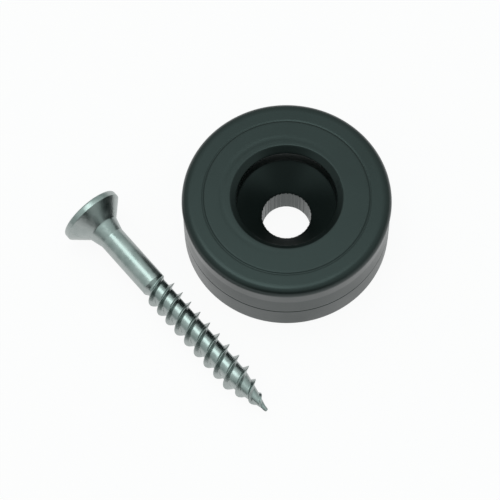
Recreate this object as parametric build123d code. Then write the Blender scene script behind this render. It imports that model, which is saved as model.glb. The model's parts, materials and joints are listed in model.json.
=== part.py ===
from build123d import *
import math
import os

# A screw-in furniture foot: a round black moulded foot with a deep countersunk
# hole, and the zinc-plated wood screw that goes through it into a leg.
# The origin is on the foot's axis, on its back face, which goes against the leg.
# +Z points out of the countersunk face. The foot lies on its back face, and
# the screw lies beside it on the same surface. All lengths are in millimetres.

# ---- the foot ---------------------------------------------------------------
FOOT_R = 19.0          # largest radius, just under the front edge
FOOT_H = 14.6          # back face to front face
BACK_R = 18.95         # side wall's radius at the back
WAIST_R = 18.85        # side wall's radius above the parting line
BACK_EDGE_R = 0.3      # small round at the back edge
FRONT_EDGE_R = 1.6     # large round at the front edge
PARTING_Z = 5.8        # the groove where the two halves of the mould met
PARTING_W = 0.3
PARTING_D = 0.12
DISC_R = 14.9          # the raised disc round the hole
DISC_RISE = 0.1
MOUTH_R = 10.25        # recess for the screw's head, at the front face
RECESS_R = 9.1         # recess below its bevelled lip
LIP_DEPTH = 1.15
CONE_TOP_Z = 10.6      # where the straight wall turns into the 90 degree cone
HOLE_R = 4.5           # through hole
HOLE_LIP_R = 0.25      # small bevel where the cone meets the hole

# ---- the screw, along its own axis from the top of the head ---------------------
SCREW_LENGTH = 49.6    # a 6 x 50 wood screw, as made
HEAD_R = 5.95
HEAD_RIM = 1.15        # straight rim of the head
HEAD_CONE_END = 4.0   # 90 degree cone under the head
NECK_R = 3.1
NECK_END = 6.5         # slim cone that blends into the shank
SHANK_R = 2.42
THREAD_START = 18.1    # end of the plain shank
CORE_START = 18.9      # the core is thinner than the shank from here
RIDGE_START = 18.5     # where the ridges begin
RIDGES = 2             # two ridges wind side by side
PITCH = 2.68           # from one ridge to the next
THREAD_R = 3.0
CORE_R = 2.0
THREAD_END = 41.0      # the last full crest
TAPER_START = 41.6     # from here the core narrows to its point
TAPER_MID = 45.8
TAPER_MID_R = 1.05
POINT_R = 0.2
CREST_W = 0.12         # width of the thread at its crest
ROOT_W = 0.84          # and at its root
THREAD_SINK = 0.1      # how far the root sinks into the core
DRIVE_R = 3.3          # cross recess in the head
DRIVE_W = 1.15
DRIVE_DEPTH = 2.6

# ---- how the screw lies -----------------------------------------------------
SCREW_HEAD_X = -36.22  # middle of the head's top face, seen from above
SCREW_HEAD_Y = 1.6
SCREW_TURN = -50.26    # degrees from +X to the screw's point
# The head's rim and the last full crest touch the surface.
SCREW_TILT = math.degrees(math.atan((HEAD_R - THREAD_R) / (THREAD_END - HEAD_RIM)))


def foot_body():
    """The moulded foot, as one section turned round the Z axis."""
    front_z = FOOT_H - DISC_RISE
    edge_z = front_z - FRONT_EDGE_R
    hole_top_z = CONE_TOP_Z - (RECESS_R - HOLE_R)
    groove_low = PARTING_Z - PARTING_W / 2
    groove_high = PARTING_Z + PARTING_W / 2
    waist_z = 0.5 * (groove_high + edge_z)
    corner = math.sin(math.radians(45))
    back = [
        Line((HOLE_R, 0), (BACK_R - BACK_EDGE_R, 0)),
        ThreePointArc(
            (BACK_R - BACK_EDGE_R, 0),
            (BACK_R - BACK_EDGE_R * (1 - corner), BACK_EDGE_R * (1 - corner)),
            (BACK_R, BACK_EDGE_R),
        ),
        Polyline(
            (BACK_R, BACK_EDGE_R),
            (BACK_R, groove_low),
            (BACK_R - PARTING_D, PARTING_Z),
            (BACK_R, groove_high),
        ),
    ]
    side = [
        ThreePointArc((BACK_R, groove_high), (WAIST_R, waist_z), (FOOT_R, edge_z)),
        ThreePointArc(
            (FOOT_R, edge_z),
            (FOOT_R - FRONT_EDGE_R * (1 - corner), front_z - FRONT_EDGE_R * (1 - corner)),
            (FOOT_R - FRONT_EDGE_R, front_z),
        ),
    ]
    front = Polyline(
        (FOOT_R - FRONT_EDGE_R, front_z),
        (DISC_R + DISC_RISE, front_z),
        (DISC_R, FOOT_H),
        (MOUTH_R, FOOT_H),
        (RECESS_R, FOOT_H - LIP_DEPTH),
        (RECESS_R, CONE_TOP_Z),
        (HOLE_R + HOLE_LIP_R, hole_top_z + HOLE_LIP_R),
        (HOLE_R, hole_top_z - HOLE_LIP_R),
        (HOLE_R, 0),
    )
    outline = Curve() + back + side + [front]
    section = make_face(Plane.XZ * outline)
    return revolve(section, Axis.Z, 360)


def screw_core():
    """Head, neck, shank and pointed core, turned round the screw's axis."""
    section = make_face(
        Plane.XZ
        * Polyline(
            (0, 0),
            (HEAD_R, 0),
            (HEAD_R, HEAD_RIM),
            (NECK_R, HEAD_CONE_END),
            (SHANK_R, NECK_END),
            (SHANK_R, THREAD_START),
            (CORE_R, CORE_START),
            (CORE_R, TAPER_START),
            (TAPER_MID_R, TAPER_MID),
            (POINT_R, SCREW_LENGTH),
            (0, SCREW_LENGTH),
            (0, 0),
        )
    )
    return revolve(section, Axis.Z, 360)


def screw_thread():
    """Right-hand ridges on helices, evenly round the core, up to the last full crest."""
    root_r = CORE_R - THREAD_SINK
    path = Helix(PITCH * RIDGES, THREAD_END - RIDGE_START, root_r, center=(0, 0, RIDGE_START))
    section = Polyline(
        (0, -ROOT_W / 2),
        (THREAD_R - root_r, -CREST_W / 2),
        (THREAD_R - root_r, CREST_W / 2),
        (0, ROOT_W / 2),
        (0, -ROOT_W / 2),
    )
    across = Plane(origin=path @ 0, x_dir=(1, 0, 0), z_dir=path % 0)
    ridge = sweep(make_face(across * section), path, is_frenet=True)
    return [Rot(0, 0, 360 * n / RIDGES) * ridge for n in range(RIDGES)]


def cross_recess():
    """A plain cross-shaped hollow for the driver."""
    arm = Box(2 * DRIVE_R, DRIVE_W, DRIVE_DEPTH, align=(Align.CENTER, Align.CENTER, Align.MIN))
    return arm + Rot(0, 0, 90) * arm


def wood_screw():
    """The screw lying down: head rim and last full crest touch the surface."""
    screw = screw_core() + screw_thread() - cross_recess()
    lie = Rot(0, 0, SCREW_TURN) * Rot(0, 90 + SCREW_TILT, 0)
    tilt = math.radians(SCREW_TILT)
    height = HEAD_R * math.cos(tilt) + HEAD_RIM * math.sin(tilt)
    return Pos(SCREW_HEAD_X, SCREW_HEAD_Y, height) * lie * screw


os.makedirs("parts", exist_ok=True)
for name, make in {"foot_body": foot_body, "wood_screw": wood_screw}.items():
    solid = make()
    export_step(solid, f"parts/{name}.step")
    box = solid.bounding_box()
    print(name, round(solid.volume, 1), "mm3", box.min, box.max)
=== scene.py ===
# %% [markdown]
# # A screw-in furniture foot and its wood screw
# The foot is a black moulded rubber ring with a deep countersunk hole. A
# zinc-plated countersunk wood screw goes through the hole and holds the foot
# under a leg. Here the foot lies on its back face and the screw lies beside it.
# The CAD model is loaded first. The foot's outer size, its hole and the screw's
# place are read from it. The other sizes repeat the CAD model's own, or are small
# details that CAD leaves out. Lengths are worked out in millimetres and turned
# into metres at the last step.

# %% Load the frame
import bpy
import json
import math
import numpy as np
from mathutils import Matrix, Vector


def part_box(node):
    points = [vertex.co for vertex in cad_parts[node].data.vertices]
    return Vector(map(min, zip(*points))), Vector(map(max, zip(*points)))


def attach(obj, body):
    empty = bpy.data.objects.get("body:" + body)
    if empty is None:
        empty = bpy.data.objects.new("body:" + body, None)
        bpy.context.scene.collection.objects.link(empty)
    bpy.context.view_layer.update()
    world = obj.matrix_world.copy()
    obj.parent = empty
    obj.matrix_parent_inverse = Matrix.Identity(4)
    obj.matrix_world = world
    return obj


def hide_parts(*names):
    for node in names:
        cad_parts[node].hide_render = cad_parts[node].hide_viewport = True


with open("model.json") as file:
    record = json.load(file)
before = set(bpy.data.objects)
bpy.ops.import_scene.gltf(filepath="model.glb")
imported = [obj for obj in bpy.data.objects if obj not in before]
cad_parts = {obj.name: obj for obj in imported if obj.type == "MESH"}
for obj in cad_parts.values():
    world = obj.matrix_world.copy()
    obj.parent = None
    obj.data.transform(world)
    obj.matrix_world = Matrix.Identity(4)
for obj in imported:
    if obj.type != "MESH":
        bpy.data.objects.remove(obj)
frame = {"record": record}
MM = 0.001
TURN = 2 * math.pi
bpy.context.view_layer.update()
mounts = {mount["name"]: mount for mount in frame["record"]["mounts"]}

# %% [markdown]
# ## The camera
# A long lens from well above keeps the foot's circles close to true ellipses.
# A short lens would widen the near edge. The camera looks 67 degrees down, and
# is turned by a degree and a half about its own line of sight.

# %% Camera
scene = bpy.context.scene
LOOK_DOWN = math.radians(66.86)
CAMERA_ROLL = math.radians(-1.53)
CAMERA_AWAY = 400 * MM
LENS_LENGTH, SEES_TO = 155.2, 20
aim = Vector((-6.86, -4.11, 0)) * MM
sight = Vector((0, math.cos(LOOK_DOWN), -math.sin(LOOK_DOWN)))

lens = bpy.data.cameras.new("camera")
lens.lens = LENS_LENGTH
lens.clip_end = SEES_TO
camera = bpy.data.objects.new("camera", lens)
scene.collection.objects.link(camera)
tilt = Matrix.Rotation(math.pi / 2 - LOOK_DOWN, 4, "X")
roll = Matrix.Rotation(CAMERA_ROLL, 4, "Z")
camera.matrix_world = Matrix.Translation(aim - sight * CAMERA_AWAY) @ tilt @ roll
scene.camera = camera
print("camera at", [round(v, 3) for v in camera.location])

# %% [markdown]
# ## The lamp
# The set is a light tent with one round lamp over the top. Black rubber and
# bright zinc show little colour of their own, so what they mirror decides how
# they look. A few small lamps in the dark would leave hard spots. One broad disc
# leaves a soft streak along the screw's shank. A disc's power is its brightness
# times pi times its area, so the brightness is what is set here.

# %% Lamp
scene.view_settings.view_transform = "Standard"
TENT_TINT = (0.86, 1.0, 0.97)
LAMP_ACROSS, LAMP_BRIGHTNESS = 0.60, 2.1
LAMP_PLACE = (-0.10, 0.08, 1.0)

lamp_data = bpy.data.lights.new("top_lamp", "AREA")
lamp_data.shape = "DISK"
lamp_data.size = LAMP_ACROSS
lamp_data.color = TENT_TINT
lamp_data.energy = LAMP_BRIGHTNESS * math.pi * math.pi * (LAMP_ACROSS / 2) ** 2
lamp = bpy.data.objects.new("top_lamp", lamp_data)
lamp.location = LAMP_PLACE
scene.collection.objects.link(lamp)
print("lamp:", round(lamp_data.energy, 2), "W")

# %% [markdown]
# ## Joining shader nodes
# The tent, the table and both finishes are built from shader nodes. Three short
# functions make a node and join it up in one line, because the same steps
# written out each time would hide what a material is made of.

# %% Node helpers
def node(tree, kind, **inputs):
    """A shader node with its sockets set by name: a value, or a socket to link from."""
    made = tree.nodes.new(kind)
    for name, value in inputs.items():
        socket = made.inputs[name.replace("_", " ")]
        if isinstance(value, bpy.types.NodeSocket):
            tree.links.new(value, socket)
        else:
            socket.default_value = value
    return made


def maths(tree, kind, *values):
    """A Math node, given its numbers or sockets in order. Returns its result."""
    made = tree.nodes.new("ShaderNodeMath")
    made.operation = kind
    for socket, value in zip(made.inputs, values):
        if isinstance(value, bpy.types.NodeSocket):
            tree.links.new(value, socket)
        else:
            socket.default_value = value
    return made.outputs[0]


def spread(tree, value, low, high, to_low, to_high):
    """Maps low..high to to_low..to_high, and holds the ends."""
    made = node(tree, "ShaderNodeMapRange", Value=value)
    numbers = {"From Min": low, "From Max": high, "To Min": to_low, "To Max": to_high}
    for name, number in numbers.items():
        made.inputs[name].default_value = number
    return made.outputs["Result"]


# %% [markdown]
# ## The tent's walls
# The walls glow softly all round, brighter the higher they are, and are dark at
# the front where the lens looks in. Real walls could be modelled, but the world
# does it without any. In the world, Generated is the direction looked in: its Z
# is how high, and its Y how far towards the back.

# %% Tent
WALL_LOW, WALL_HIGH, BRIGHTENS_FROM = 0.49, 0.92, 0.2
GAP_DARK = 0.88
GAP_SIDE = (-0.85, -0.66)
GAP_TOP = (0.40, 0.70)

world = bpy.data.worlds.new("light_tent")
scene.world = world
world.use_nodes = True
tree = world.node_tree
looked_in = tree.nodes.new("ShaderNodeTexCoord").outputs["Generated"]
direction = node(tree, "ShaderNodeSeparateXYZ", Vector=looked_in)
glow = spread(tree, direction.outputs["Z"], BRIGHTENS_FROM, 1.0, WALL_LOW, WALL_HIGH)
in_front = spread(tree, direction.outputs["Y"], *GAP_SIDE, 1, 0)
low_down = spread(tree, direction.outputs["Z"], *GAP_TOP, 1, 0)
gap = maths(tree, "MULTIPLY", maths(tree, "MULTIPLY", in_front, low_down), GAP_DARK)
glow = maths(tree, "MULTIPLY", glow, maths(tree, "SUBTRACT", 1.0, gap))
background = tree.nodes["Background"]
background.inputs["Color"].default_value = (*TENT_TINT, 1)
tree.links.new(glow, background.inputs["Strength"])
print("tent:", len(tree.nodes), "nodes, walls", WALL_LOW, "to", WALL_HIGH)

# %% [markdown]
# ## The table
# The table is plain white. What the camera and mirrored rays see of it is mostly
# a clean white of strength 1, with a share of the real lit surface left in, so
# that the soft shadow under the pieces stays. The lamp isn't raised for it.

# %% Table
TABLE_HALF = 2.0
TABLE_GREY = 0.86
CLEAN_WHITE = 0.93

table_paint = bpy.data.materials.new("white_table")
table_paint.use_nodes = True
tree = table_paint.node_tree
tree.nodes.clear()
path = tree.nodes.new("ShaderNodeLightPath")
seen = maths(tree, "MAXIMUM", path.outputs["Is Camera Ray"], path.outputs["Is Glossy Ray"])
seen = maths(tree, "MAXIMUM", seen, path.outputs["Is Transmission Ray"])
share = maths(tree, "MULTIPLY", seen, CLEAN_WHITE)
paint = node(tree, "ShaderNodeBsdfDiffuse", Color=(TABLE_GREY, TABLE_GREY, TABLE_GREY, 1))
white = node(tree, "ShaderNodeEmission", Color=(1, 1, 1, 1), Strength=1.0)
blend = node(tree, "ShaderNodeMixShader", Fac=share)
tree.links.new(paint.outputs[0], blend.inputs[1])
tree.links.new(white.outputs[0], blend.inputs[2])
output = tree.nodes.new("ShaderNodeOutputMaterial")
tree.links.new(blend.outputs[0], output.inputs["Surface"])

table_mesh = bpy.data.meshes.new("table")
corners = [(x * TABLE_HALF, y * TABLE_HALF, 0) for x, y in ((-1, -1), (1, -1), (1, 1), (-1, 1))]
table_mesh.from_pydata(corners, [], [(0, 1, 2, 3)])
table = bpy.data.objects.new("table", table_mesh)
table_mesh.materials.append(table_paint)
scene.collection.objects.link(table)
print("table:", 2 * TABLE_HALF, "m across")

# %% [markdown]
# ## A section with rounded corners
# Both pieces are turned shapes: a section carried round an axis. A section is a
# short list of corners, and each corner has its own rounding. The Bevel modifier
# could round them later, but every edge would then need a weight of its own. The
# rounded line is cut into steps short enough to carry small details.

# %% Section helpers
def soften(corners, steps=6):
    """A polyline with rounded corners. A row is a corner's two places and its rounding.

    At a corner the arc starts and ends one tangent length away, which is the
    radius times the tangent of half the turn. Between them the point follows
    the circle of that radius: start, turned step by step about its centre.
    """
    points = corners[:, :2]
    outline = [points[:1]]
    for before, corner, after, radius in zip(points, points[1:], points[2:], corners[1:, 2]):
        into = (corner - before) / np.linalg.norm(corner - before)
        away = (after - corner) / np.linalg.norm(after - corner)
        turn = math.atan2(into[0] * away[1] - into[1] * away[0], into @ away)
        start = corner - into * radius * math.tan(abs(turn) / 2)
        normal = np.array((-into[1], into[0])) * math.copysign(1, turn)
        centre = start + normal * radius
        angles = np.linspace(0, turn, steps + 1)[:, None]
        spoke = start - centre
        across = np.array((-spoke[1], spoke[0]))
        outline.append(centre + spoke * np.cos(angles) + across * np.sin(angles))
    outline.append(points[-1:])
    return np.concatenate(outline)


def resample(outline, longest):
    """The same polyline with no step longer than the given length."""
    steps = np.linalg.norm(np.diff(outline, axis=0), axis=1)
    counts = np.maximum(np.ceil(steps / longest).astype(int), 1)
    marks = np.concatenate(([0.0], np.cumsum(steps)))
    fine = np.concatenate(
        [np.linspace(a, b, n, endpoint=False) for a, b, n in zip(marks, marks[1:], counts)]
        + [marks[-1:]]
    )
    return np.stack([np.interp(fine, marks, outline[:, k]) for k in (0, 1)], axis=1)


# %% [markdown]
# ## The foot's section
# The foot comes out of a two-part mould. The groove round its side, about two
# fifths up, is where the halves met. The wall above draws in a little and swells
# again to the front edge, and that edge has a large round, so that it slides over
# a floor without catching. The face has a raised disc with a faint groove round
# it, then a bevelled mouth, a straight wall that hides the screw's head, and a
# cone that the head pulls on. The section starts and ends in the hole's wall.

# %% Foot section
FOOT_R, _, FOOT_H = np.array(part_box("foot_body")[1]) / MM
HOLE_R = mounts["screw_hole"]["dims"]["r_mm"]
BACK_R, WAIST_R = FOOT_R - 0.05, FOOT_R - 0.15
BACK_ROUND, EDGE_ROUND = 0.30, 1.6
PARTING_Z, PARTING_HALF, PARTING_DEEP = 5.8, 0.15, 0.12
DISC_R, DISC_RISE = 14.9, 0.1
RING_WIDE, RING_DEEP = 0.50, 0.09
MOUTH_R, RECESS_R, LIP_DEPTH = 10.25, 9.1, 1.15
CONE_TOP = 10.6
FOOT_STEP = 0.35
face_z = FOOT_H - DISC_RISE
cone_end = CONE_TOP - (RECESS_R - HOLE_R)
hole_middle = 0.5 * cone_end

foot_corners = np.array(
    [  # radius, height, rounding
        (HOLE_R, hole_middle, 0),
        (HOLE_R, 0, 0.15),
        (BACK_R, 0, BACK_ROUND),
        (BACK_R, PARTING_Z - PARTING_HALF, 0.05),
        (BACK_R - PARTING_DEEP, PARTING_Z, 0.05),
        (BACK_R, PARTING_Z + PARTING_HALF, 0.05),
        (WAIST_R, 0.5 * (PARTING_Z + face_z), 6.0),
        (FOOT_R, face_z - EDGE_ROUND, 0.5),
        (FOOT_R, face_z, EDGE_ROUND - 0.1),
        (DISC_R + RING_WIDE, face_z, 0.25),
        (DISC_R + 0.5 * RING_WIDE, face_z - RING_DEEP, 0.25),
        (DISC_R, FOOT_H, 0.15),
        (MOUTH_R, FOOT_H, 0.25),
        (RECESS_R, FOOT_H - LIP_DEPTH, 0.45),
        (RECESS_R, CONE_TOP, 0.3),
        (HOLE_R, cone_end, 0.35),
        (HOLE_R, hole_middle, 0),
    ]
)
foot_section = resample(soften(foot_corners), FOOT_STEP)[:-1]
print("foot section:", len(foot_section), "points")

# %% [markdown]
# ## From a grid of points to a mesh
# Blender can spin a curve into a turned shape, but then ridges, burrs and the
# thread would need sculpting. A grid is simpler here. Rows follow the section,
# columns go round the axis, and a detail is one more term in a point's formula.

# %% Grid helpers
def ring_faces(rows, columns, closed):
    """Quads between neighbouring rows and columns; columns always close up.

    With closed, the last row joins the first one, as on a ring.
    """
    row = np.arange(rows if closed else rows - 1)[:, None]
    column = np.arange(columns)[None, :]
    low, high = row * columns, ((row + 1) % rows) * columns
    beside = (column + 1) % columns
    return np.stack([low + column, low + beside, high + beside, high + column], -1).reshape(-1, 4)


def mesh_piece(name, points, quads, triangles=np.empty((0, 3), int)):
    """An object at the origin from points in millimetres, shaded smooth."""
    mesh = bpy.data.meshes.new(name)
    mesh.from_pydata((points * MM).tolist(), [], quads.tolist() + triangles.tolist())
    mesh.polygons.foreach_set("use_smooth", np.ones(len(mesh.polygons), bool))
    mesh.update()
    piece = bpy.data.objects.new(name, mesh)
    scene.collection.objects.link(piece)
    print(name, len(mesh.vertices), "points,", len(mesh.polygons), "faces")
    return piece


# %% [markdown]
# ## Turning the foot
# The section goes round the axis in 256 columns. Four small things break the
# perfect turning, as on the real moulding: fine upright ribs in the hole, left
# by the mould's core pin, a shallow scar off the centre beside the mouth, faint
# hoops low on the side, and two burrs on the bevelled lip.

# %% Foot surface
FOOT_COLUMNS = 256
NEAR = 0.01
RIBS = [(37, 0.045, 0.0), (61, 0.035, 1.3)]
RIBS_FROM = 0.4
HOOP_SPACING, HOOP_HEIGHT, HOOP_MARGIN = 0.7, 0.012, (0.5, 0.4)
SCAR_SHIFT, SCAR_R, SCAR_FACES = (-0.5, 0.3), 11.3, math.radians(150)
SCAR_WIDE, SCAR_DEEP, SCAR_FROM_MOUTH = 0.22, 0.05, 0.2
BURR_ANGLES = [math.radians(16), math.radians(10)]
BURR_WIDE, BURR_HEIGHT, BURR_INSIDE = 0.30, 0.10, 0.25


def bump(distance, width):
    """A smooth hill: one at no distance, falling away over the given width."""
    return np.exp(-((distance / width) ** 2))


def turned_foot(section, columns):
    """Points round the Z axis: (radius cos angle, radius sin angle, height).

    The radius is the section's own, plus ribs in the hole as sine waves of the
    angle, plus hoops low on the side as a sine of the height. The height is the
    section's own, less a groove along a circle whose centre is off the axis,
    plus the burrs as two small hills on the lip, and never above the face.
    """
    angle = np.arange(columns)[None, :] * TURN / columns
    radius = np.repeat(section[:, :1], columns, axis=1)
    height = np.repeat(section[:, 1:], columns, axis=1)
    in_hole = (radius < HOLE_R + NEAR) & (height > RIBS_FROM)
    ribs = sum(size * np.sin(count * angle + start) for count, size, start in RIBS)
    radius = radius + np.where(in_hole, ribs, 0)
    above, under = HOOP_MARGIN
    low_side = (radius > BACK_R - NEAR) & (height > above) & (height < PARTING_Z - under)
    radius = radius + np.where(low_side, HOOP_HEIGHT * np.sin(height * TURN / HOOP_SPACING), 0)
    x, y = radius * np.cos(angle), radius * np.sin(angle)
    on_face = (height > FOOT_H - 2 * NEAR) & (radius > MOUTH_R + SCAR_FROM_MOUTH)
    off_centre = np.hypot(x - SCAR_SHIFT[0], y - SCAR_SHIFT[1]) - SCAR_R
    facing = 0.5 + 0.5 * np.cos(angle - SCAR_FACES)
    scar = SCAR_DEEP * bump(off_centre, SCAR_WIDE) * facing ** 2
    height = height - np.where(on_face, scar, 0)
    on_lip = (height > FOOT_H - LIP_DEPTH) & (radius < MOUTH_R)
    for burr_angle in BURR_ANGLES:
        away = np.hypot((angle - burr_angle) * MOUTH_R, radius - MOUTH_R + BURR_INSIDE)
        height = height + np.where(on_lip, BURR_HEIGHT * bump(away, BURR_WIDE), 0)
    return np.stack([x, y, np.minimum(height, FOOT_H)], axis=-1).reshape(-1, 3)


foot = mesh_piece(
    "rubber_foot",
    turned_foot(foot_section, FOOT_COLUMNS),
    ring_faces(len(foot_section), FOOT_COLUMNS, closed=True),
)
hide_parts("foot_body")
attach(foot, "root")

# %% [markdown]
# ## Parts of a finish
# Both finishes start from the same few nodes: a shader, a place on the piece, a
# cloudy noise and a blend of two colours. The place is in Object coordinates, so
# that a pattern stays put on the piece and keeps its true scale in metres.

# %% Finish helpers
def finish_material(name):
    """A new node material: its tree, its shader and its Object coordinates."""
    material = bpy.data.materials.new(name)
    material.use_nodes = True
    shader = material.node_tree.nodes["Principled BSDF"]
    place = material.node_tree.nodes.new("ShaderNodeTexCoord").outputs["Object"]
    return material, material.node_tree, shader, place


def noise(tree, place, scale, detail, roughness=0.5):
    """Cloudy noise at so many features a metre. Returns its grey output."""
    return node(
        tree, "ShaderNodeTexNoise", Vector=place, Scale=scale, Detail=detail, Roughness=roughness
    ).outputs["Fac"]


def colour_mix(tree, fac, first, second):
    """A colour between two linear colours."""
    made = tree.nodes.new("ShaderNodeMix")
    made.data_type = "RGBA"
    tree.links.new(fac, made.inputs["Factor"])
    made.inputs["A"].default_value = (*first, 1)
    made.inputs["B"].default_value = (*second, 1)
    return made.outputs["Result"]


# %% [markdown]
# ## Black rubber
# Dense moulded rubber is almost black, with a cold cast and a soft sheen. Its
# look comes from the surface: a very fine grain that spreads the highlights, and
# cloudy patches where the mould release dried. The colour stays nearly flat, so
# roughness and bump carry the variation. The cold cast is a tint on the mirrored
# light, because the base is too dark for its own colour to show.

# %% Rubber finish
RUBBER_DARK, RUBBER_PALE = (0.0035, 0.0050, 0.0045), (0.0050, 0.0070, 0.0064)
RUBBER_TINT = (0.80, 1.0, 0.98, 1)
RUBBER_ROUGHNESS = (0.27, 0.37)
RUBBER_CLOUDS, RUBBER_GRAIN = 90, 5200
CLOUD_ENDS = (0.3, 0.7)
GRAIN_STRENGTH, GRAIN_DEEP = 0.12, 0.00006

rubber, tree, shader, place = finish_material("black_rubber")
clouds = noise(tree, place, RUBBER_CLOUDS, 4)
grain = noise(tree, place, RUBBER_GRAIN, 2)
colour = colour_mix(tree, spread(tree, clouds, *CLOUD_ENDS, 0, 1), RUBBER_DARK, RUBBER_PALE)
tree.links.new(colour, shader.inputs["Base Color"])
dullness = spread(tree, clouds, *CLOUD_ENDS, *RUBBER_ROUGHNESS)
tree.links.new(dullness, shader.inputs["Roughness"])
shader.inputs["Specular IOR Level"].default_value = 0.5
shader.inputs["Specular Tint"].default_value = RUBBER_TINT
relief = node(tree, "ShaderNodeBump", Strength=GRAIN_STRENGTH, Distance=GRAIN_DEEP, Height=grain)
tree.links.new(relief.outputs["Normal"], shader.inputs["Normal"])
foot.data.materials.append(rubber)
print(rubber.name, "roughness", RUBBER_ROUGHNESS)

# %% [markdown]
# ## How the screw lies
# The record gives a point on the screw's axis and the axis itself, which dips
# towards the point because the screw lies on its wide head. The screw is worked
# out along its own axis, from the head down, and carried to its place at the end
# by three directions: along, to the left of it, and down across it.

# %% Screw placing
screw_mount = mounts["screw_thread"]
along = np.array(screw_mount["axis"], float)
along /= np.linalg.norm(along)
AXIS_POINT_FROM_HEAD = 30.0
head_middle = np.array(screw_mount["pos_m"]) / MM - along * AXIS_POINT_FROM_HEAD
left = np.array((-along[1], along[0], 0)) / math.hypot(along[0], along[1])
below = np.cross(left, along)
print("head at", head_middle.round(2), "along", along.round(3), "below", below.round(3))

# %% [markdown]
# ## The screw's section
# The blank is headed cold from wire: a thin straight rim, a 90 degree cone that
# seats in the foot, a slimmer neck and a plain shank. Rolling then pushes the
# thread up out of the shank, so the core between its turns is thinner than the
# shank. The core narrows in a bow to its point. Rows stand closest together where
# the thread is, and the head's flat top has rows of its own for the cross. The
# outermost of those run 0.06 mm past where the edge's round starts, so the skin
# doubles back on itself in a ring that narrow. TOP_TO would have to be 0.94.

# %% Screw section
HEAD_R, HEAD_RIM, HEAD_CONE_END = 5.95, 1.15, 4.0
NECK_R, NECK_END, SHANK_R, CORE_R = 3.1, 6.5, 2.42, 2.0
THREAD_START, THREAD_FULL, THREAD_END, SCREW_LENGTH = 18.1, 19.8, 41.0, 49.6
CORE_START = 18.9
TAPER_START, TAPER_MID, TAPER_MID_R = 41.6, 45.8, 1.15
POINT_R, POINT_CAP = 0.2, 0.1
TOP_FROM, TOP_TO, TOP_ROWS = 0.06, 0.96, 46
SHANK_STEP, THREAD_STEP = 0.30, 0.085

screw_corners = np.array(
    [  # radius, distance from the head's top, rounding
        (0, 0, 0),
        (HEAD_R, 0, 0.30),
        (HEAD_R, HEAD_RIM, 0.10),
        (NECK_R, HEAD_CONE_END, 0.5),
        (SHANK_R, NECK_END, 0.8),
        (SHANK_R, THREAD_START, 0.4),
        (CORE_R, CORE_START, 0.4),
        (CORE_R, TAPER_START, 6.0),
        (TAPER_MID_R, TAPER_MID, 6.0),
        (POINT_R, SCREW_LENGTH - POINT_CAP, 0.05),
        (0, SCREW_LENGTH, 0),
    ]
)
outline = soften(screw_corners)
widest = outline[:, 0].argmax()
below_head = outline[widest:]
top_rows = np.linspace(TOP_FROM, TOP_TO, TOP_ROWS)[:, None] * np.array([[HEAD_R, 0]])
shank_rows = resample(below_head[below_head[:, 1] < THREAD_START], SHANK_STEP)
thread_rows = resample(below_head[below_head[:, 1] >= THREAD_START], THREAD_STEP)
screw_section = np.concatenate([top_rows, outline[1:widest], shank_rows, thread_rows[:-1]])
print("screw section:", len(screw_section), "rows")

# %% [markdown]
# ## The thread
# This is a right-hand thread of two thin ridges that wind side by side. Sweeping
# a triangle along a helix would leave a separate shell stuck into the core. Here
# the thread is part of the one skin: the radius rises wherever a point is near a
# helix. Both formulas take a distance from the head's top and an angle.

# %% Thread
PITCH, RIDGES, CREST_FROM_HEAD = 2.68, 2, 27.74
THREAD_HEIGHT, CREST_HALF, RIDGE_HALF = 1.0, 0.05, 0.46
FLANK_HOLLOW = 1.12
EVEN_FROM, CROWDED = CREST_FROM_HEAD - 0.5 * PITCH, 0.88
FADE_AFTER, FADE_BEFORE_POINT, FADED_HEIGHT = 1.0, 0.6, 0.10


def from_crest(distance, angle):
    """How many pitches a point lies past the nearest crest, from -1/2 to 1/2.

    Each full turn moves a ridge on by as many pitches as there are ridges.
    Towards the shank the ridges stand a little closer than one pitch.
    """
    past = distance - EVEN_FROM
    pitches = np.where(past < 0, past / CROWDED, past) / PITCH - RIDGES * angle / TURN
    return pitches - np.round(pitches)


def ridge_height(distance, angle):
    """Height of the thread above the core.

    It is the full height, faded at both ends of the thread, times a flank that
    falls from one at the crest to nothing at the ridge's foot. The flank is
    raised to a power a little over one, which hollows it.
    """
    full = np.interp(
        distance,
        [THREAD_START, THREAD_FULL, THREAD_END + FADE_AFTER, SCREW_LENGTH - FADE_BEFORE_POINT],
        [0.0, THREAD_HEIGHT, THREAD_HEIGHT, FADED_HEIGHT],
    )
    aside = np.abs(from_crest(distance, angle)) * PITCH
    flank = 1 - (aside - CREST_HALF) / (RIDGE_HALF - CREST_HALF)
    return full * np.clip(flank, 0, 1) ** FLANK_HOLLOW


print("thread:", RIDGES, "ridges,", PITCH, "mm apart")

# %% [markdown]
# ## The driver's cross
# The cross in the head's flat top works like the thread, the other way round: the
# skin sinks wherever a point lies inside one of two arms. Cutting it out with a
# Boolean could leave long thin faces on the flat top.

# %% Cross recess
DRIVE_R, DRIVE_HALF, DRIVE_DEEP = 3.3, 0.57, 2.5
SIDE_SLOPE, END_SLOPE = 9, 1.2
CROSS_TURN = 0.4


def cross_depth(u, v):
    """Depth of the driver's cross at a place on the head.

    Inside an arm the depth grows steeply from its long sides and at about 50
    degrees from its end, up to a floor. The deeper of the two arms counts.
    """
    def arm(lengthwise, across):
        from_side = (DRIVE_HALF - np.abs(across)) * SIDE_SLOPE
        from_end = (DRIVE_R - np.abs(lengthwise)) * END_SLOPE
        return np.minimum(from_side, from_end)

    return np.clip(np.maximum(arm(u, v), arm(v, u)), 0, DRIVE_DEEP)


print("cross:", 2 * DRIVE_R, "mm across,", DRIVE_DEEP, "mm deep")

# %% [markdown]
# ## The screw's skin
# The section goes round the axis in 150 columns, and the thread and the cross are
# added to it. Rows are drawn towards the nearest crest first, because a thin crest
# needs them more than the root does. A fan of triangles closes each end.

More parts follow.
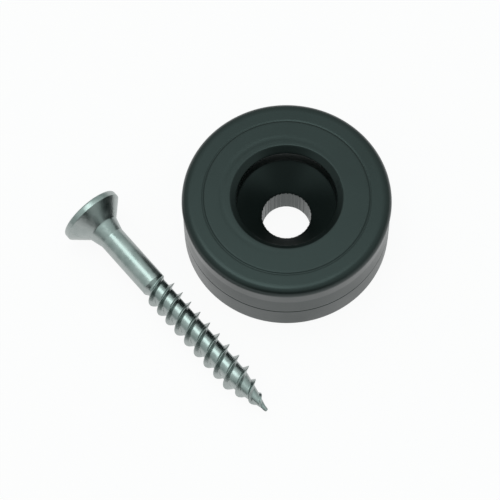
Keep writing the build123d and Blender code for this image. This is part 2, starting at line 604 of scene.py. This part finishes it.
# %% Screw surface
SCREW_COLUMNS = 150
ROW_PULL = 0.62
PULL_RISE, PULL_FALLS_AFTER, PULL_ENDS_BEFORE = 1.5, 4, 1.5
FLAT = 0.001


def screw_skin(section, columns):
    """Points of the lying screw in millimetres.

    Each is: head middle + along * distance + (below * cos angle + left * sin
    angle) * radius. Distance and radius come from the section; the thread adds
    to the radius, and the cross adds to the distance on the head's top.
    """
    angle = np.arange(columns)[None, :] * TURN / columns
    radius = np.repeat(section[:, :1], columns, axis=1)
    distance = np.repeat(section[:, 1:], columns, axis=1)
    pull_from, pull_to = THREAD_END + PULL_FALLS_AFTER, SCREW_LENGTH - PULL_ENDS_BEFORE
    pull = np.interp(
        distance,
        [THREAD_START, THREAD_START + PULL_RISE, pull_from, pull_to],
        [0, ROW_PULL, ROW_PULL, 0],
    )
    distance = distance - pull * PITCH / TURN * np.sin(TURN * from_crest(distance, angle))
    core = np.interp(distance, below_head[:, 1], below_head[:, 0])
    threaded = distance > THREAD_START
    radius = np.where(threaded, core + ridge_height(distance, angle), radius)
    u, v = radius * np.cos(angle + CROSS_TURN), radius * np.sin(angle + CROSS_TURN)
    on_top = (distance < FLAT) & (radius < HEAD_R)
    distance = distance + np.where(on_top, cross_depth(u, v), 0)
    spoke = below * np.cos(angle)[..., None] + left * np.sin(angle)[..., None]
    points = head_middle + along * distance[..., None] + spoke * radius[..., None]
    return points.reshape(-1, 3)


def end_fans(rows, columns):
    """Triangles from the first row to one pole, and from the last row to the next."""
    ring = np.arange(columns)
    beside = (ring + 1) % columns
    last = (rows - 1) * columns
    head_pole = np.full(columns, rows * columns)
    head_fan = np.stack([head_pole, beside, ring], axis=1)
    point_fan = np.stack([last + ring, last + beside, head_pole + 1], axis=1)
    return np.concatenate([head_fan, point_fan])


skin = screw_skin(screw_section, SCREW_COLUMNS)
poles = head_middle + along * np.array([[DRIVE_DEEP], [SCREW_LENGTH]])
screw = mesh_piece(
    "zinc_screw",
    np.concatenate([skin, poles]),
    ring_faces(len(screw_section), SCREW_COLUMNS, closed=False),
    end_fans(len(screw_section), SCREW_COLUMNS),
)
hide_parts("wood_screw")
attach(screw, "root")

# %% [markdown]
# ## Bright zinc
# Zinc plate over rolled steel is a mirror with a soft, cold, blue-green cast. It
# is never even: the bath leaves faint clouds, and tumbling with other screws
# leaves fine scuffs. The clouds change the tone and the roughness together, and
# the scuffs are a fine bump, so that long highlights break up a little.

# %% Zinc finish
ZINC_DULL, ZINC_BRIGHT = (0.30, 0.34, 0.33), (0.43, 0.465, 0.455)
ZINC_ROUGHNESS = (0.24, 0.40)
ZINC_CLOUDS, ZINC_SCUFFS, ZINC_MOTTLE = 420, 1900, 0.6
TONE_ENDS = (0.32, 0.68)
SCUFF_STRENGTH, SCUFF_DEEP = 0.6, 0.00003

zinc, tree, shader, place = finish_material("bright_zinc")
clouds = noise(tree, place, ZINC_CLOUDS, 4, ZINC_MOTTLE)
scuffs = noise(tree, place, ZINC_SCUFFS, 3, ZINC_MOTTLE)
colour = colour_mix(tree, spread(tree, clouds, *TONE_ENDS, 0, 1), ZINC_DULL, ZINC_BRIGHT)
tree.links.new(colour, shader.inputs["Base Color"])
dullness = spread(tree, clouds, *CLOUD_ENDS, *ZINC_ROUGHNESS)
tree.links.new(dullness, shader.inputs["Roughness"])
shader.inputs["Metallic"].default_value = 1.0
relief = node(tree, "ShaderNodeBump", Strength=SCUFF_STRENGTH, Distance=SCUFF_DEEP, Height=scuffs)
tree.links.new(relief.outputs["Normal"], shader.inputs["Normal"])
screw.data.materials.append(zinc)
print(zinc.name, "roughness", ZINC_ROUGHNESS)

# %% [markdown]
# ## The end
# The finished surfaces must stay inside the CAD model's box, because the box is
# what a stranger builds around. The last line brings the scene up to date.

# %% End
bpy.context.view_layer.update()
